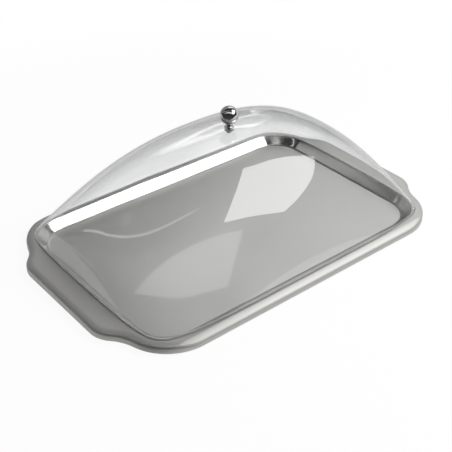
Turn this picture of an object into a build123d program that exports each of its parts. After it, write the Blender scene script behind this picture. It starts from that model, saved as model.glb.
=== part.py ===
from build123d import *
from math import acos, asin, cos, degrees, radians, sin, sqrt
import os

# A covered serving tray: a pressed steel tray with two flat end handles and its edge turned down,
# and a clear domed cover that stands on the ledge round the tray's well and lifts off by a ball knob.
# Millimetres. +X runs along the tray towards one handle, +Z up.
# The origin is the middle of the flat underside that the tray rests on.

# Tray sizes
sheet = 0.8               # thickness of the steel
well_length = 472.0       # opening of the well, at the ledge
well_width = 313.0
well_corner = 55.0        # corner radius of that opening
well_depth = 13.7
wall_lean = 42.0          # degrees that the well's wall leans out from upright
floor_bend = 4.0          # inside radius where the floor turns up into the wall
ledge_bend = 2.2          # radius over the well's edge
ledge_width = 8.1         # from the well's side edge to the line where the sheet starts to curve down
handle_reach = 28.1       # from the well's end edge to that line on a handle
handle_corner = 27.8      # radius of that line round a handle's corner
shoulder_radius = 70.6    # hollow curve of that line between body corner and handle
body_corner = 59.6        # radius of that line round a corner of the body
body_turn = 15.9          # degrees from X at which the body's corner runs into the shoulder
crown_radius = 25.5       # slow curve that leads out from the flat
crown_turn = 16.0         # degrees that it turns down
edge_radius = 4.5         # outside radius of the bend that follows
edge_drop = 12.0          # lowest point of the edge below the ledge

# Cover sizes
cover_wall = 2.6
cover_rise = 143.0        # crown of the cover above the ledge
crown_flat = 0.2          # depth of the flat that the knob is drawn down on
end_overlap = 4.3         # how far the cover's foot reaches over the ledge, at the ends
side_overlap = 7.8        # and at the long sides
plan_power = 2.35         # higher is squarer, seen from above
end_fullness = 0.581      # lower is fuller towards the short ends
side_fullness = 0.795     # lower is fuller towards the long sides
foot_cut = 0.134          # share of the blown form's height that lies below the ledge
skirt_share = 0.05        # share of that height by which the skin runs on down, to be cut off level

# Knob and fastening sizes
ball_diameter = 25.0
ball_height = 18.2        # centre of the ball above the knob's seat
neck_top = 10.0           # diameter where the neck runs into the ball
neck_diameter = 6.4       # the neck at its narrowest
foot_diameter = 13.0
foot_thickness = 1.4
foot_lip = 0.7            # flat ring round the foot, outside the flare
screw_diameter = 4.0
screw_grip = 9.0          # length of the screw inside the knob
head_diameter = 8.0
head_height = 2.6
head_round = 1.2
recess_width = 0.9
recess_length = 4.2
recess_depth = 1.5
hole_clearance = 0.5      # on the diameter, where the screw passes through
thread_clearance = 0.1    # on the diameter, in the knob's bore
bore_end_gap = 1.0        # depth of the bore past the screw's end
seal_diameter = 12.0
seal_thickness = 1.0
washer_diameter = 9.0
washer_thickness = 0.8

# Sizes worked out from those above
ledge_height = well_depth + sheet
wall_offset = sheet / cos(radians(wall_lean))
turn_half_length = well_length / 2 + handle_reach
body_centre = Vector(well_length / 2 - well_corner, well_width / 2 + ledge_width - body_corner)
crown_height = ledge_height + cover_rise
ceiling_height = crown_height - cover_wall
knob_seat = crown_height + seal_thickness
head_seat = ceiling_height - seal_thickness - washer_thickness
hole_diameter = screw_diameter + hole_clearance


def polar(length, angle):
    """Step of a length in the plan, at an angle from +X in degrees."""
    return Vector(length * cos(radians(angle)), length * sin(radians(angle)))


def turn_quarter():
    """Quarter of the line where the flat sheet curves down, seen from above, from long side to handle."""
    shoulder_centre = body_centre + polar(body_corner + shoulder_radius, body_turn)
    corner_x = turn_half_length - handle_corner
    handle_turn = degrees(acos((shoulder_centre.X - corner_x) / (shoulder_radius + handle_corner)))
    corner_centre = shoulder_centre - polar(shoulder_radius + handle_corner, handle_turn)
    side_end = body_centre + Vector(0, body_corner)
    handle_start = corner_centre + Vector(handle_corner, 0)
    return [
        Line((0, side_end.Y), side_end),
        CenterArc(body_centre, body_corner, 90, body_turn - 90),
        CenterArc(shoulder_centre, shoulder_radius, 180 + body_turn, handle_turn - body_turn),
        CenterArc(corner_centre, handle_corner, handle_turn, -handle_turn),
        Line(handle_start, (handle_start.X, 0)),
    ]


def four_ways(quarter):
    """A quarter of the tray and its mirror images."""
    half = [quarter, mirror(quarter, Plane.YZ)]
    return half + [mirror(piece, Plane.XZ) for piece in half]


def rounded_plan(outset, height):
    """The well's opening, grown by an outset, level at a height."""
    plan = RectangleRounded(well_length + 2 * outset, well_width + 2 * outset, well_corner + outset)
    return Pos(0, 0, height) * plan


def well_form(outset, depth, bend):
    """Solid that fills the well, grown sideways by an outset, with its lower edge rounded."""
    form = extrude(rounded_plan(outset, ledge_height), amount=depth, dir=(0, 0, -1), taper=wall_lean)
    floor = form.faces().sort_by(Axis.Z)[0]
    return fillet(floor.edges(), bend)


def ledge_quarter():
    """Quarter of the flat sheet between the well and the turned-down edge, handle included."""
    line = turn_quarter()
    outer_start = line[0] @ 0
    outer_end = line[-1] @ 1
    plan = make_face(line + [Line(outer_end, (0, 0)), Line((0, 0), outer_start)])
    return extrude(Pos(0, 0, ledge_height - sheet) * plan, amount=sheet)


def edge_section():
    """The edge cut across: slowly down from the flat, round the bend and down to a rounded lip."""
    crown_centre = Vector(0, -crown_radius)
    bend_start = 90 - crown_turn
    bend_centre = crown_centre + polar(crown_radius - edge_radius, bend_start)
    crown = CenterArc(crown_centre, crown_radius, 90, -crown_turn)
    bend = CenterArc(bend_centre, edge_radius, bend_start, -bend_start)
    lip_centre = (bend_centre.X + edge_radius - sheet / 2, sheet / 2 - edge_drop)
    lip = CenterArc(lip_centre, sheet / 2, 0, -180)
    under_bend = CenterArc(bend_centre, edge_radius - sheet, 0, bend_start)
    under_crown = CenterArc(crown_centre, crown_radius - sheet, bend_start, crown_turn)
    outer_face = Line(bend @ 1, lip @ 0)
    inner_face = Line(lip @ 1, under_bend @ 0)
    root = Line(under_crown @ 1, crown @ 0)
    return make_face([root, crown, bend, outer_face, lip, inner_face, under_bend, under_crown])


def edge_quarter():
    """Quarter of the turned-down edge, from the middle of a long side to the middle of a handle."""
    line = Pos(0, 0, ledge_height) * Wire(turn_quarter())
    start = Plane(origin=line @ 0, x_dir=(0, 1, 0), z_dir=(1, 0, 0))
    return sweep(start * edge_section(), path=line)


def make_tray():
    """One pressing: floor, leaning wall, ledge, handles and the turned-down edge all round."""
    blank = well_form(wall_offset, well_depth + sheet, floor_bend + sheet)
    blank += four_ways(ledge_quarter())
    pan = blank - well_form(0, well_depth, floor_bend)
    top = pan.faces().filter_by(Axis.Z).sort_by(Axis.Z)[-1]
    pan = fillet(top.inner_wires()[0].edges(), ledge_bend)
    under = pan.faces().filter_by(lambda f: abs(f.center().Z - ledge_height + sheet) < sheet / 100)
    pan = fillet(under.sort_by(SortBy.AREA)[-1].inner_wires()[0].edges(), ledge_bend - sheet)
    return pan + four_ways(edge_quarter())


def blown_skin(half_length, half_width, rise):
    """Surface blown up from a rounded rectangular frame, carried on a little below the ledge."""
    columns = 40
    rows = 32
    lowest = foot_cut - skirt_share
    length_reach = half_length / (1 - foot_cut ** (1 / end_fullness)) ** (1 / plan_power)
    width_reach = half_width / (1 - foot_cut ** (1 / side_fullness)) ** (1 / plan_power)
    swell = rise / (1 - foot_cut)
    end_angle = asin((1 - lowest ** (1 / end_fullness)) ** (1 / plan_power))
    side_angle = asin((1 - lowest ** (1 / side_fullness)) ** (1 / plan_power))
    points = []
    for i in range(columns + 1):
        along = sin(end_angle * (2 * i / columns - 1))
        end = (1 - abs(along) ** plan_power) ** end_fullness
        row = []
        for j in range(rows + 1):
            across = sin(side_angle * (2 * j / rows - 1))
            side = (1 - abs(across) ** plan_power) ** side_fullness
            height = ledge_height + swell * (end * side - foot_cut)
            row.append((length_reach * along, width_reach * across, height))
        points.append(row)
    return Face.make_surface_from_array_of_points(points, min_deg=3, max_deg=5)


def dome_form(inset):
    """Solid under the dome's skin, from the ledge up, drawn in by an inset and flattened at the crown."""
    half_length = well_length / 2 + end_overlap - inset
    half_width = well_width / 2 + side_overlap - inset
    rise = cover_rise + crown_flat - inset
    block = extrude(rounded_plan(well_corner, ledge_height), amount=rise - crown_flat)
    cut = split(block, bisect_by=blown_skin(half_length, half_width, rise), keep=Keep.BOTH)
    middle = Vector(0, 0, ledge_height + rise / 2)
    return [piece for piece in cut.solids() if piece.is_inside(middle)][0]


def make_cover():
    """Clear dome, cut off level at its foot, with a hole in its crown for the screw."""
    hole = Pos(0, 0, ceiling_height + cover_wall / 2) * Cylinder(hole_diameter / 2, 2 * cover_wall)
    return dome_form(0) - dome_form(cover_wall) - hole


def make_knob():
    """Turned ball knob with a tapered neck, a flared foot and a blind threaded bore."""
    ball = ball_diameter / 2
    neck = neck_diameter / 2
    foot = foot_diameter / 2
    flare = foot - neck - foot_lip
    waist = foot_thickness + flare
    bore = (screw_diameter + thread_clearance) / 2
    bore_depth = screw_grip + bore_end_gap
    join = (neck_top / 2, ball_height - sqrt(ball ** 2 - (neck_top / 2) ** 2))
    summit = (0, ball_height + ball)
    profile = make_face([
        Polyline((0, bore_depth), (bore, bore_depth), (bore, 0), (foot, 0), (foot, foot_thickness),
                 (foot - foot_lip, foot_thickness)),
        CenterArc((foot - foot_lip, waist), flare, -90, -90),
        Line((neck, waist), join),
        ThreePointArc(join, (ball, ball_height), summit),
        Line(summit, (0, bore_depth)),
    ])
    return Pos(0, 0, knob_seat) * revolve(Plane.XZ * profile, Axis.Z)


def ring(outer, inner, thickness, bottom):
    """Flat ring lying level on a height."""
    plan = Circle(outer / 2) - Circle(inner / 2)
    return extrude(Pos(0, 0, bottom) * plan, amount=thickness)


def make_screw():
    """Pan-head screw from inside the cover up into the knob, with a cross recess."""
    length = knob_seat + screw_grip - head_seat
    head = extrude(Pos(0, 0, head_seat - head_height) * Circle(head_diameter / 2), amount=head_height)
    head = fillet(head.edges().sort_by(Axis.Z)[0], head_round)
    shank = extrude(Pos(0, 0, head_seat) * Circle(screw_diameter / 2), amount=length)
    slot = Box(recess_length, recess_width, 2 * recess_depth)
    recess = slot + Rot(0, 0, 90) * slot
    return head + shank - Pos(0, 0, head_seat - head_height) * recess


parts = {
    "tray": make_tray(),
    "dome_cover": make_cover(),
    "ball_knob": make_knob(),
    "outer_seal_washer": ring(seal_diameter, hole_diameter, seal_thickness, crown_height),
    "inner_seal_washer": ring(seal_diameter, hole_diameter, seal_thickness, ceiling_height - seal_thickness),
    "screw_washer": ring(washer_diameter, hole_diameter, washer_thickness, head_seat),
    "knob_screw": make_screw(),
}

os.makedirs("parts", exist_ok=True)
for name, part in parts.items():
    part.label = name
    export_step(part, f"parts/{name}.step")
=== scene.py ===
from math import atan2, cos, pi, radians, sin

import bmesh
import bpy
from mathutils import Matrix, Vector


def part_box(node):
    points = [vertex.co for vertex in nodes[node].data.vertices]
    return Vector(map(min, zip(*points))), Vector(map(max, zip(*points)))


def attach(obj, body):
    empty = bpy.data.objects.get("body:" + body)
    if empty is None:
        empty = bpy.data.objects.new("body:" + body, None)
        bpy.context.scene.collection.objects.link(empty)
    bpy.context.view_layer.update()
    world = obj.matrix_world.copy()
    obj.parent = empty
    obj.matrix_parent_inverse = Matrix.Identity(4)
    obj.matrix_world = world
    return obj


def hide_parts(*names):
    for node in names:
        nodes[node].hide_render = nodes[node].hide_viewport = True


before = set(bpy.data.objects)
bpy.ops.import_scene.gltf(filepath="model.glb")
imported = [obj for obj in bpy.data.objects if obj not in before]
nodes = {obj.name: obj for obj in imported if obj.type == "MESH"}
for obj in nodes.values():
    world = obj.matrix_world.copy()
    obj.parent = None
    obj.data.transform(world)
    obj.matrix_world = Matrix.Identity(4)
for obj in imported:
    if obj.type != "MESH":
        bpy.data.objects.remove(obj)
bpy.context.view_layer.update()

# Covered serving tray: satin and polished steel tray, clear blown cover, chrome ball knob.
# Metres, in the frame of the solids: +X along the tray, +Z up, the tray's underside at zero.

MM = 0.001

# Places read from the solids
tray_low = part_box("tray")[0]
cover_low, cover_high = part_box("dome_cover")
ledge_height = cover_low.z

# The tray's well, with the solid's sizes
well_half = Vector((236.0, 156.5, 0)) * MM
well_corner = 55.0 * MM
well_core = well_half - Vector((well_corner, well_corner, 0))

# What the scene's tray changes in the solid: a wall that leans more, and rounder long edges
wall_lean = 0.086              # how much further the wall leans, across over down
core_margin = 1.0 * MM         # the flat floor's middle stays where it is
long_edge_slope = 0.34         # how much steeper the long edges fall away than the ends
long_edge_ease = 1.0 * MM      # that slope sets in over this distance
full_drop_height = ledge_height - 5.5 * MM
no_drop_height = tray_low.z + 3.5 * MM
long_edge_cuts = 12
long_edge_cut_step = 0.6 * MM
weld_gap = 0.002 * MM
tray_smooth_angle = radians(30)

# Finish of the tray's steel
floor_bend = (tray_low.z + 2.0 * MM, tray_low.z + 3.2 * MM)      # satin below, polished above
ledge_start = (-1.2 * MM, -0.5 * MM)                             # polished before, satin past the well's edge
edge_turn = (ledge_height - 1.0 * MM, ledge_height - 0.1 * MM)   # rougher below
floor_rough = 0.33
drift_rough = 0.06
ledge_added_rough = 0.12
edge_added_rough = 0.1
wall_rough = 0.1
marks_rough = 0.03

# Shape of the clear cover, as blown: the same sizes as the solid's
cover_wall = 2.6 * MM
plan_power = 2.35
end_fullness = 0.581
side_fullness = 0.795
foot_cut = 0.134
crown_flat = 0.2 * MM
foot_round = 1.1 * MM
screw_hole = 2.25 * MM
seat_gap = 0.15 * MM           # clear plastic stands this far off the steel: light passes between them
seal_gap = 0.05 * MM
cover_columns = 192
cover_rings = 64
outline_steps = 3600
foot_margin = 0.01 * MM
cover_smooth_angle = radians(50)
plastic_bend = 1.49            # how strongly the clear plastic bends light

# Viewpoint of the photograph
view_distance = 1.2869
view_pitch = radians(34.303)
view_turn = radians(-39.247)
aim_right = -4.04 * MM
aim_up = -9.93 * MM
lens_mm = 73.34
sensor_mm = 36

# Studio light: bearings from +X and heights over the horizon, in degrees
key_way = (-38.0, 44.5)
key_distance = 1.6
key_size = (0.81, 1.05)
key_roll = radians(-70.7)
key_aside = (-0.075, -0.004)
key_aim_height = 0.09          # over the ledge
key_radiance = 4.0
room_level = 0.04
sweep_middle = (65, 12)
sweep_reach = 49
sweep_soft = 0.07
sweep_brightest = (20, 45)
sweep_fade = (0.82, 0.97)
sweep_levels = (0.255, 1.215)
side_glow_way = (130.0, 37.5)
side_glow_reach = 4.0
side_glow_end = 133.9          # bearing at which the side glow is cut off
side_glow_soft = 0.004
side_glow_level = 0.6
far_end_way = (0.0, 4.0)       # pale far end of the table
far_end_reach = 24
far_end_soft = 0.03
far_end_level = 0.48
strip_axis = (55.3, 34.6)      # the thin strip runs round this axis
strip_reach = 0.381
strip_half_width = 0.019
strip_fade = (145, -0.3, -0.05)    # bearing towards which the strip comes up, and where
strip_lowest = (0.19, 0.02)    # sine of the strip's lowest height, and its softness
strip_level = 2.0
dim_panel_sides = (            # bearing, height, reach and softness of the faint panel's three sides
    (147.3, -12.1, -0.831, 0.006),
    (42.7, 29.2, -0.164, 0.005),
    (-128.1, -23.8, 0.084, 0.007),
)
dim_panel_level = 1.16

# Table top: as the camera sees it, and as the steel and the plastic mirror it
table_size = 16
table_gap = 0.05 * MM
shadow_fade = (0.4, 0.9)       # distances between which the shadowed ground turns plain white
ground_tone = 0.14
ground_glow = 0.92
table_edge = (-144, 0.287)     # bearing and distance of the table's edge
table_edge_soft = 0.01
table_tone = 0.75
table_glow = 0.27
beyond_table = 0.06
sweep_foot = (0.5, 0.8)        # distances behind the tray between which the table rises into the sweep
sweep_paper = 0.6


def direction(bearing, height):
    """Unit vector at a bearing from +X and a height over the horizon, in degrees."""
    level = cos(radians(height))
    return Vector((cos(radians(bearing)) * level, sin(radians(bearing)) * level, sin(radians(height))))


def signed(value, sign_of):
    """A value with the sign of another."""
    return value if sign_of >= 0 else -value


class Nodes:
    """Small helper that adds and joins the nodes of one tree."""

    def __init__(self, tree):
        self.tree = tree
        tree.nodes.clear()

    def add(self, kind, **settings):
        node = self.tree.nodes.new(kind)
        for name, value in settings.items():
            setattr(node, name, value)
        return node

    def join(self, source, target):
        self.tree.links.new(source, target)

    def feed(self, socket, value):
        """A socket takes another node's output, or a plain value."""
        if isinstance(value, bpy.types.NodeSocket):
            self.join(value, socket)
        else:
            socket.default_value = value

    def place(self):
        """Where a point lies on the piece."""
        return self.add("ShaderNodeTexCoord").outputs["Object"]

    def math(self, operation, first, second=0.0):
        node = self.add("ShaderNodeMath", operation=operation)
        self.feed(node.inputs[0], first)
        self.feed(node.inputs[1], second)
        return node.outputs[0]

    def scaled(self, value, by, plus):
        """A value times one number, plus another."""
        return self.math("ADD", self.math("MULTIPLY", value, by), plus)

    def ramp(self, value, low, high, to_low=0.0, to_high=1.0):
        """Smooth step of a value between two limits."""
        node = self.add("ShaderNodeMapRange", interpolation_type="SMOOTHSTEP")
        for socket, setting in zip(node.inputs, (value, low, high, to_low, to_high)):
            self.feed(socket, setting)
        return node.outputs[0]

    def along(self, vector, bearing, height=0):
        """How far a vector reaches towards a bearing and height."""
        node = self.add("ShaderNodeVectorMath", operation="DOT_PRODUCT")
        self.join(vector, node.inputs[0])
        node.inputs[1].default_value = direction(bearing, height)
        return node.outputs["Value"]

    def toward(self, vector, bearing, height, reach, soft):
        """One where a vector reaches far enough towards a bearing and height, else zero."""
        return self.ramp(self.along(vector, bearing, height), reach - soft, reach + soft)

    def noise(self, vector, scale, detail=2.0, roughness=0.5):
        node = self.add("ShaderNodeTexNoise")
        self.join(vector, node.inputs["Vector"])
        self.feed(node.inputs["Scale"], scale)
        node.inputs["Detail"].default_value = detail
        node.inputs["Roughness"].default_value = roughness
        return node.outputs["Fac"]

    def stretched(self, vector, scale):
        node = self.add("ShaderNodeMapping")
        self.join(vector, node.inputs["Vector"])
        node.inputs["Scale"].default_value = scale
        return node.outputs["Vector"]

    def tone(self, share, first, second):
        """Colour between two colours."""
        node = self.add("ShaderNodeMix", data_type="RGBA")
        self.join(share, node.inputs["Factor"])
        node.inputs["A"].default_value = first
        node.inputs["B"].default_value = second
        return node.outputs["Result"]

    def group(self, tree, **inputs):
        node = self.add("ShaderNodeGroup", node_tree=tree)
        for name, value in inputs.items():
            self.feed(node.inputs[name.capitalize()], value)
        return node.outputs

    def bump(self, height, distance):
        node = self.add("ShaderNodeBump")
        self.join(height, node.inputs["Height"])
        node.inputs["Distance"].default_value = distance
        node.inputs["Strength"].default_value = 1.0
        return node.outputs["Normal"]

    def shader(self, kind, **inputs):
        node = self.add(kind)
        for name, value in inputs.items():
            self.feed(node.inputs[name], value)
        return node.outputs[0]

    def both(self, first, second):
        """Sum of two shaders."""
        node = self.add("ShaderNodeAddShader")
        self.join(first, node.inputs[0])
        self.join(second, node.inputs[1])
        return node.outputs[0]

    def blend(self, share, first, second):
        """Mix of two shaders."""
        node = self.add("ShaderNodeMixShader")
        self.feed(node.inputs[0], share)
        self.join(first, node.inputs[1])
        self.join(second, node.inputs[2])
        return node.outputs[0]

    def looked_at(self):
        """One where the camera sees a place straight, or through the clear plastic with no mirror between."""
        path = self.add("ShaderNodeLightPath")
        unmirrored = self.math("LESS_THAN", path.outputs["Glossy Depth"], 0.5)
        through = self.math("MULTIPLY", path.outputs["Is Transmission Ray"], unmirrored)
        return self.math("MAXIMUM", path.outputs["Is Camera Ray"], through)


def material(name):
    made = bpy.data.materials.new(name)
    made.use_nodes = True
    return made, Nodes(made.node_tree)


def finish_with(n, settings):
    """Principled surface with the given sockets, joined to the output."""
    surface = n.shader("ShaderNodeBsdfPrincipled", **settings)
    out = n.add("ShaderNodeOutputMaterial")
    n.join(surface, out.inputs["Surface"])


def group_tree(name, inputs, outputs):
    """Empty shader group with named value or vector sockets."""
    tree = bpy.data.node_groups.new(name, "ShaderNodeTree")
    made = Nodes(tree)
    for socket_name, kind in inputs:
        tree.interface.new_socket(socket_name, in_out="INPUT", socket_type=kind)
    for socket_name, kind in outputs:
        tree.interface.new_socket(socket_name, in_out="OUTPUT", socket_type=kind)
    return tree, made, made.add("NodeGroupInput"), made.add("NodeGroupOutput")


def make_grain_group():
    """Fine lines left by a finishing belt that runs along X, with slow drifts in the finish."""
    tree, made, given, out = group_tree(
        "belt_grain", [("Place", "NodeSocketVector")],
        [("Lines", "NodeSocketFloat"), ("Drift", "NodeSocketFloat")])
    place = given.outputs["Place"]
    lines = made.noise(made.stretched(place, (18, 1900, 1900)), 1.0, 3.0, 0.6)
    drift = made.noise(made.stretched(place, (6, 9, 9)), 1.0)
    made.join(lines, out.inputs["Lines"])
    made.join(drift, out.inputs["Drift"])
    return tree


def make_handling_group():
    """Soft cloudy patches where hands and cloths have been."""
    tree, made, given, out = group_tree(
        "handling_marks", [("Place", "NodeSocketVector"), ("Scale", "NodeSocketFloat")],
        [("Marks", "NodeSocketFloat")])
    clouds = made.noise(given.outputs["Place"], given.outputs["Scale"], 4.0)
    made.join(made.ramp(clouds, 0.5, 0.72), out.inputs["Marks"])
    return tree


belt_grain = make_grain_group()
handling_marks = make_handling_group()


def past_well(n, place):
    """How far outside the well's edge a place is, seen from above."""
    folded = n.add("ShaderNodeVectorMath", operation="ABSOLUTE")
    n.join(place, folded.inputs[0])
    from_core = n.add("ShaderNodeVectorMath", operation="SUBTRACT")
    n.join(folded.outputs[0], from_core.inputs[0])
    from_core.inputs[1].default_value = well_core
    outside = n.add("ShaderNodeVectorMath", operation="MAXIMUM")
    n.join(from_core.outputs[0], outside.inputs[0])
    flat = n.stretched(outside.outputs[0], (1, 1, 0))
    reach = n.add("ShaderNodeVectorMath", operation="LENGTH")
    n.join(flat, reach.inputs[0])
    return n.math("SUBTRACT", reach.outputs["Value"], well_corner)


def make_tray_steel():
    """Steel with a satin belt finish on its floor, ledge and edge, and a polish on its wall."""
    made, n = material("tray_steel")
    place = n.place()
    split = n.add("ShaderNodeSeparateXYZ")
    n.join(place, split.inputs[0])
    z = split.outputs["Z"]
    on_floor = n.ramp(z, *floor_bend, 1.0, 0.0)
    on_ledge = n.ramp(past_well(n, place), *ledge_start)
    satin = n.math("MAXIMUM", on_floor, on_ledge)
    grain = n.group(belt_grain, place=place)
    marks = n.group(handling_marks, place=place, scale=14.0)["Marks"]
    turned_down = n.ramp(z, *edge_turn, edge_added_rough, 0.0)
    added_rough = n.math("MULTIPLY", n.math("ADD", turned_down, ledge_added_rough), on_ledge)
    satin_rough = n.math("ADD", n.scaled(grain["Drift"], drift_rough, floor_rough), added_rough)
    rough = n.add("ShaderNodeMix")
    n.join(satin, rough.inputs["Factor"])
    n.join(n.scaled(marks, marks_rough, wall_rough), rough.inputs["A"])
    n.join(satin_rough, rough.inputs["B"])
    lines = n.math("MULTIPLY", grain["Lines"], satin)
    finish_with(n, {
        "Base Color": n.tone(grain["Lines"], (0.73, 0.725, 0.70, 1), (0.79, 0.785, 0.76, 1)),
        "Metallic": 1.0,
        "Roughness": rough.outputs["Result"],
        "Normal": n.bump(lines, 0.004 * MM),
    })
    return made


def make_clear_plastic():
    """Clear blown sheet, glossy, with the slow ripple of a sheet shaped by air."""
    made, n = material("clear_plastic")
    place = n.place()
    marks = n.group(handling_marks, place=place, scale=22.0)["Marks"]
    ripple = n.noise(place, 9.0, 0.0)
    finish_with(n, {
        "Base Color": (0.99, 0.995, 0.995, 1),
        "Roughness": n.math("MULTIPLY", marks, 0.012),
        "IOR": plastic_bend,
        "Transmission Weight": 1.0,
        "Normal": n.bump(ripple, 0.01 * MM),
    })
    return made


def make_frosted_foot_painted_light():
    """Frosted look of the cover's sawn and smoothed foot, in a pale colour that is painted light: it lightens
    the dark line of shade where the foot stands on the steel.
    """
    made, n = material("frosted_foot_painted_light")
    scratches = n.noise(n.stretched(n.place(), (900, 900, 300)), 1.0, 3.0)
    finish_with(n, {
        # pale base colour and half transmission: painted light that lightens the shaded dark line along the
        # foot
        "Base Color": (0.92, 0.93, 0.93, 1),
        "Roughness": n.scaled(scratches, 0.2, 0.35),
        "IOR": plastic_bend,
        "Transmission Weight": 0.5,
        "Normal": n.bump(scratches, 0.01 * MM),
    })
    return made


def make_knob_chrome():
    """Bright plating over a turned knob."""
    made, n = material("knob_chrome")
    place = n.place()
    marks = n.group(handling_marks, place=place, scale=160.0)["Marks"]
    turning = n.noise(n.stretched(place, (200, 200, 4000)), 1.0)
    finish_with(n, {
        "Base Color": (0.72, 0.72, 0.73, 1),
        "Metallic": 1.0,
        "Roughness": n.scaled(marks, 0.05, 0.03),
        "Normal": n.bump(turning, 0.0008 * MM),
    })
    return made


def make_seal_rubber():
    """Pale soft ring with a fine moulded grain."""
    made, n = material("seal_rubber")
    speckle = n.noise(n.place(), 2500.0, 3.0)
    finish_with(n, {
        "Base Color": n.tone(speckle, (0.66, 0.66, 0.64, 1), (0.76, 0.76, 0.74, 1)),
        "Roughness": n.scaled(speckle, 0.15, 0.5),
        "Normal": n.bump(speckle, 0.02 * MM),
    })
    return made


def make_screw_steel():
    """Plain bright steel of the screw and its washer, with fine lines."""
    made, n = material("screw_steel")
    lines = n.group(belt_grain, place=n.place())["Lines"]
    finish_with(n, {
        "Base Color": n.tone(lines, (0.52, 0.52, 0.51, 1), (0.62, 0.62, 0.61, 1)),
        "Metallic": 1.0,
        "Roughness": n.scaled(lines, 0.1, 0.2),
        "Normal": n.bump(lines, 0.003 * MM),
    })
    return made


def dress(node, finish):
    """One finish over a whole node."""
    slots = nodes[node].data.materials
    slots.clear()
    slots.append(finish)


tray_steel = make_tray_steel()
clear_plastic = make_clear_plastic()
frosted_foot_painted_light = make_frosted_foot_painted_light()
screw_steel = make_screw_steel()
seal_rubber = make_seal_rubber()
dress("tray", tray_steel)
dress("dome_cover", clear_plastic)
dress("ball_knob", make_knob_chrome())
dress("outer_seal_washer", seal_rubber)
dress("inner_seal_washer", seal_rubber)
dress("screw_washer", screw_steel)
dress("knob_screw", screw_steel)


def wall_shift(point):
    """How a place in the well moves inwards so that the wall leans more: nothing at the ledge."""
    outwards = Vector((signed(max(abs(point.x) - well_core.x, 0), point.x),
                       signed(max(abs(point.y) - well_core.y, 0), point.y), 0))
    if outwards.length > well_corner or outwards.length < core_margin:
        return Vector((0, 0, 0))
    return outwards.normalized() * -wall_lean * max(ledge_height - point.z, 0)


def long_edge_drop(point):
    """How far a long edge is eased down at a place: nothing at the cover's foot and at the lip."""
    reach = max(abs(point.y) - cover_high.y, 0)
    drop = long_edge_slope * ((reach ** 2 + long_edge_ease ** 2) ** 0.5 - long_edge_ease)
    share = (point.z - no_drop_height) / (full_drop_height - no_drop_height)
    return drop * min(max(share, 0), 1)


def make_pressed_tray():
    """The tray as a merged copy of the solid, with its wall leaning more and its long edges rounder."""
    mesh = nodes["tray"].data.copy()
    mesh.transform(nodes["tray"].matrix_world)
    tray = bpy.data.objects.new("pressed_tray", mesh)
    bpy.context.scene.collection.objects.link(tray)
    bpy.ops.object.select_all(action="DESELECT")
    tray.select_set(True)
    bpy.context.view_layer.objects.active = tray
    bpy.ops.mesh.customdata_custom_splitnormals_clear()
    bpy.ops.object.mode_set(mode="EDIT")
    bpy.ops.mesh.select_all(action="SELECT")
    bpy.ops.mesh.remove_doubles(threshold=weld_gap)
    for side in (-1, 1):
        for cut in range(long_edge_cuts):
            across = side * (cover_high.y + cut * long_edge_cut_step)
            bpy.ops.mesh.select_all(action="SELECT")
            bpy.ops.mesh.bisect(plane_co=(0, across, 0), plane_no=(0, 1, 0))
    shaped = bmesh.from_edit_mesh(mesh)
    for vertex in shaped.verts:
        vertex.co += wall_shift(vertex.co)
        vertex.co.z -= long_edge_drop(vertex.co)
    bmesh.update_edit_mesh(mesh)
    bpy.ops.object.mode_set(mode="OBJECT")
    bpy.ops.object.shade_smooth_by_angle(angle=tray_smooth_angle)
    bpy.ops.object.modifier_add(type="WEIGHTED_NORMAL")
    tray.modifiers[-1].keep_sharp = True
    bpy.ops.object.modifier_apply(modifier=tray.modifiers[-1].name)
    mesh.materials.clear()
    mesh.materials.append(tray_steel)
    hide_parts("tray")
    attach(tray, "tray")


class BlownSkin:
    """One face of the dome's sheet: a form blown from a rounded rectangular frame."""

    def __init__(self, inset):
        half_length = (cover_high.x - cover_low.x) / 2 - inset
        half_width = (cover_high.y - cover_low.y) / 2 - inset
        self.rise = cover_high.z - cover_low.z + crown_flat - inset
        self.reach_x = half_length / (1 - foot_cut ** (1 / end_fullness)) ** (1 / plan_power)
        self.reach_y = half_width / (1 - foot_cut ** (1 / side_fullness)) ** (1 / plan_power)
        self.swell = self.rise / (1 - foot_cut)

    def foot(self, turn):
        """Point of the foot's outline, at a turn round the dome."""
        x = self.reach_x * (1 - foot_cut ** (cos(turn) ** 2 / end_fullness)) ** (1 / plan_power)
        y = self.reach_y * (1 - foot_cut ** (sin(turn) ** 2 / side_fullness)) ** (1 / plan_power)
        return Vector((signed(x, cos(turn)), signed(y, sin(turn)), 0))

    def height(self, x, y):
        """Height of the skin over the ledge."""
        end = 1 - abs(x / self.reach_x) ** plan_power
        side = 1 - abs(y / self.reach_y) ** plan_power
        return self.swell * (end ** end_fullness * side ** side_fullness - foot_cut)


def even_feet(skin):
    """The foot's outline as evenly spaced points."""
    fine = [skin.foot(2 * pi * i / outline_steps) for i in range(outline_steps + 1)]
    lengths = [0.0]
    for before, after in zip(fine, fine[1:]):
        lengths.append(lengths[-1] + (after - before).length)
    feet = []
    at = 0
    for i in range(cover_columns):
        goal = lengths[-1] * (i + 0.5) / cover_columns
        while lengths[at + 1] < goal:
            at += 1
        share = (goal - lengths[at]) / (lengths[at + 1] - lengths[at])
        feet.append(fine[at].lerp(fine[at + 1], share))
    return feet


def outline_at(skin, level):
    """Outline of a skin at a low height over the ledge, found by halving."""
    outline = []
    for point in even_feet(skin):
        low, high = 0.9, 1.0
        for _ in range(30):
            share = (low + high) / 2
            if skin.height(point.x * share, point.y * share) > level:
                low = share
            else:
                high = share
        outline.append(point * low)
    return outline


def skin_ring(skin, outline, share, limit):
    """Ring of a skin's points at a share of the way from the crown to the outline."""
    ring = []
    for point in outline:
        x = point.x * share
        y = point.y * share
        ring.append(Vector((x, y, min(skin.height(x, y), limit))))
    return ring


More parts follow.
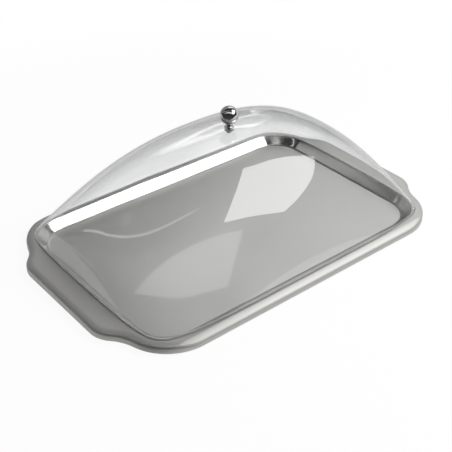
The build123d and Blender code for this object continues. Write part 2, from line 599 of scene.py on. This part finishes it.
def foot_ring(outline, inset, height):
    """Ring of the foot's rounding, inset from an outline."""
    ring = []
    for point in outline:
        ring.append(point * (1 - inset / point.length) + Vector((0, 0, height)))
    return ring


def hole_ring(outline, height):
    """Ring round the screw hole, with a point for each point of an outline."""
    ring = []
    for point in outline:
        turn = atan2(point.y, point.x)
        ring.append(Vector((screw_hole * cos(turn), screw_hole * sin(turn), height)))
    return ring


def cover_sections():
    """Rings of the cover's closed skin: from the hole out and down, under the foot and back up inside."""
    outer = BlownSkin(0)
    inner = BlownSkin(cover_wall)
    feet = outline_at(outer, seat_gap + foot_round)
    inner_feet = outline_at(inner, seat_gap + foot_round)
    shares = [sin(pi / 2 * i / cover_rings) for i in range(2, cover_rings)]
    top = outer.rise - crown_flat - seal_gap
    ceiling = inner.rise - crown_flat + seal_gap
    rounding = []
    for turn in range(0, 91, 15):
        inset = foot_round * (1 - cos(radians(turn)))
        rounding.append((inset, seat_gap + foot_round * (1 - sin(radians(turn)))))
    rings = [hole_ring(feet, top)]
    rings += [skin_ring(outer, feet, share, top) for share in shares]
    rings += [foot_ring(feet, inset, height) for inset, height in rounding]
    rings += [foot_ring(inner_feet, -inset, height) for inset, height in reversed(rounding)]
    rings += [skin_ring(inner, inner_feet, share, ceiling) for share in reversed(shares)]
    rings.append(hole_ring(feet, ceiling))
    return rings


def place_ring(piece, ring):
    """Put the selected loop of points on a ring, in order round the dome."""
    mesh = bmesh.from_edit_mesh(piece.data)
    chosen = sorted((v for v in mesh.verts if v.select), key=lambda v: atan2(v.co.y, v.co.x))
    for vertex, point in zip(chosen, sorted(ring, key=lambda p: atan2(p.y, p.x))):
        vertex.co = point + Vector((0, 0, ledge_height))
    bmesh.update_edit_mesh(piece.data)


def make_dome():
    """Clear cover: a loop round the screw hole, drawn out ring by ring and closed on itself."""
    rings = cover_sections()
    bpy.ops.object.select_all(action="DESELECT")
    bpy.ops.mesh.primitive_circle_add(vertices=cover_columns, radius=screw_hole)
    dome = bpy.context.object
    dome.name = "clear_dome"
    bpy.ops.object.mode_set(mode="EDIT")
    bpy.ops.mesh.select_all(action="SELECT")
    place_ring(dome, rings[0])
    for ring in rings[1:]:
        bpy.ops.mesh.extrude_region_move(TRANSFORM_OT_translate={"value": (0, 0, 0)})
        place_ring(dome, ring)
    bpy.ops.mesh.select_all(action="DESELECT")
    mesh = bmesh.from_edit_mesh(dome.data)
    for edge in mesh.edges:
        edge.select = edge.is_boundary
    bmesh.update_edit_mesh(dome.data)
    bpy.ops.mesh.bridge_edge_loops()
    bpy.ops.mesh.select_all(action="SELECT")
    bpy.ops.mesh.normals_make_consistent(inside=False)
    bpy.ops.object.mode_set(mode="OBJECT")
    bpy.ops.object.shade_smooth_by_angle(angle=cover_smooth_angle)
    dome.data.materials.clear()
    dome.data.materials.append(clear_plastic)
    dome.data.materials.append(frosted_foot_painted_light)
    # the foot's faces take the pale frosted finish, painted light over the shade where the foot meets the
    # steel
    foot_top = ledge_height + seat_gap + foot_round + foot_margin
    points = dome.data.vertices
    for face in dome.data.polygons:
        face.material_index = int(all(points[i].co.z < foot_top for i in face.vertices))
    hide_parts("dome_cover")
    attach(dome, "cover")


def make_floor():
    """Wide pale table top that keeps the object's shadow and fades to white away from it."""
    bpy.ops.object.select_all(action="DESELECT")
    bpy.ops.mesh.primitive_plane_add(size=table_size, location=(0, 0, tray_low.z - table_gap))
    floor = bpy.context.object
    floor.name = "table_top"
    made, n = material("table_white")
    place = n.place()
    far = n.add("ShaderNodeVectorMath", operation="LENGTH")
    n.join(place, far.inputs[0])
    near = n.ramp(far.outputs["Value"], *shadow_fade, 1.0, 0.0)
    thin = n.shader("ShaderNodeBsdfDiffuse", Color=(ground_tone, ground_tone, ground_tone, 1))
    shaded = n.both(thin, n.shader("ShaderNodeEmission", Strength=ground_glow))
    white = n.shader("ShaderNodeEmission", Strength=1.0)
    ground = n.blend(near, white, shaded)
    cloth = n.shader("ShaderNodeBsdfDiffuse", Color=(table_tone, table_tone, table_tone, 1))
    lit_cloth = n.both(cloth, n.shader("ShaderNodeEmission", Strength=table_glow))
    dark = n.shader("ShaderNodeEmission", Strength=beyond_table)
    past_table = n.toward(place, table_edge[0], 0, table_edge[1], table_edge_soft)
    behind = n.ramp(n.along(place, sweep_middle[0]), *sweep_foot)
    paper = n.shader("ShaderNodeEmission", Strength=sweep_paper)
    mirrored = n.blend(behind, n.blend(past_table, lit_cloth, dark), paper)
    out = n.add("ShaderNodeOutputMaterial")
    n.join(n.blend(n.looked_at(), mirrored, ground), out.inputs["Surface"])
    floor.data.materials.append(made)


def make_world():
    """White sweep behind the object and a dim room in front, white where the camera looks past the object."""
    world = bpy.data.worlds.new("studio")
    world.use_nodes = True
    bpy.context.scene.world = world
    n = Nodes(world.node_tree)
    way = n.add("ShaderNodeTexCoord").outputs["Generated"]
    in_sweep = n.toward(way, *sweep_middle, cos(radians(sweep_reach)), sweep_soft)
    sweep_level = n.ramp(n.along(way, *sweep_brightest), *sweep_fade, *sweep_levels)
    sweep = n.math("MULTIPLY", in_sweep, sweep_level)
    in_glow = n.toward(way, *side_glow_way, cos(radians(side_glow_reach)), side_glow_soft)
    glow = n.math("MULTIPLY", in_glow, n.toward(way, side_glow_end - 90, 0, 0, side_glow_soft))
    off_strip = n.math("ABSOLUTE", n.math("SUBTRACT", n.along(way, *strip_axis), strip_reach))
    strip = n.ramp(off_strip, 0.0, strip_half_width, 1.0, 0.0)
    strip = n.math("MULTIPLY", strip, n.ramp(n.along(way, strip_fade[0]), *strip_fade[1:]))
    strip = n.math("MULTIPLY", strip, n.toward(way, 0, 90, *strip_lowest))
    dim_panel = dim_panel_level
    for side in dim_panel_sides:
        dim_panel = n.math("MULTIPLY", n.toward(way, *side), dim_panel)
    far_end = n.toward(way, *far_end_way, cos(radians(far_end_reach)), far_end_soft)
    level = n.scaled(glow, side_glow_level, room_level)
    level = n.math("ADD", level, n.math("MULTIPLY", far_end, far_end_level))
    level = n.math("ADD", level, n.math("MULTIPLY", strip, strip_level))
    level = n.math("MAXIMUM", n.math("ADD", level, dim_panel), sweep)
    strength = n.math("MAXIMUM", level, n.looked_at())
    background = n.shader("ShaderNodeBackground", Color=(1, 1, 1, 1), Strength=strength)
    out = n.add("ShaderNodeOutputWorld")
    n.join(background, out.inputs["Surface"])


def make_key_panel():
    """Soft light panel that faces the dome's middle."""
    toward = direction(*key_way)
    across = direction(key_way[0] + 90, 0)
    along = toward.cross(across)
    lamp = bpy.data.lights.new("key_panel", "AREA")
    lamp.shape = "RECTANGLE"
    lamp.size, lamp.size_y = key_size
    lamp.energy = key_radiance * key_size[0] * key_size[1] * pi
    panel = bpy.data.objects.new("key_panel", lamp)
    bpy.context.scene.collection.objects.link(panel)
    turn = Matrix((across, along, toward)).transposed() @ Matrix.Rotation(key_roll, 3, "Z")
    middle = Vector((0, 0, ledge_height + key_aim_height))
    place = middle + toward * key_distance + across * key_aside[0] + along * key_aside[1]
    panel.matrix_world = Matrix.Translation(place) @ turn.to_4x4()
    panel.visible_camera = False


def make_camera():
    """Camera at the photograph's viewpoint."""
    turn = Matrix.Rotation(view_turn, 3, "Z") @ Matrix.Rotation(radians(90) - view_pitch, 3, "X")
    right, up, back = turn.col
    aim = Vector((0, 0, ledge_height)) + right * aim_right + up * aim_up
    lens = bpy.data.cameras.new("photo_view")
    lens.lens = lens_mm
    lens.sensor_width = sensor_mm
    camera = bpy.data.objects.new("photo_view", lens)
    bpy.context.scene.collection.objects.link(camera)
    camera.matrix_world = Matrix.Translation(aim + back * view_distance) @ turn.to_4x4()
    bpy.context.scene.camera = camera


make_pressed_tray()
make_dome()
make_floor()
make_world()
make_key_panel()
make_camera()
bpy.context.scene.view_settings.view_transform = "Standard"
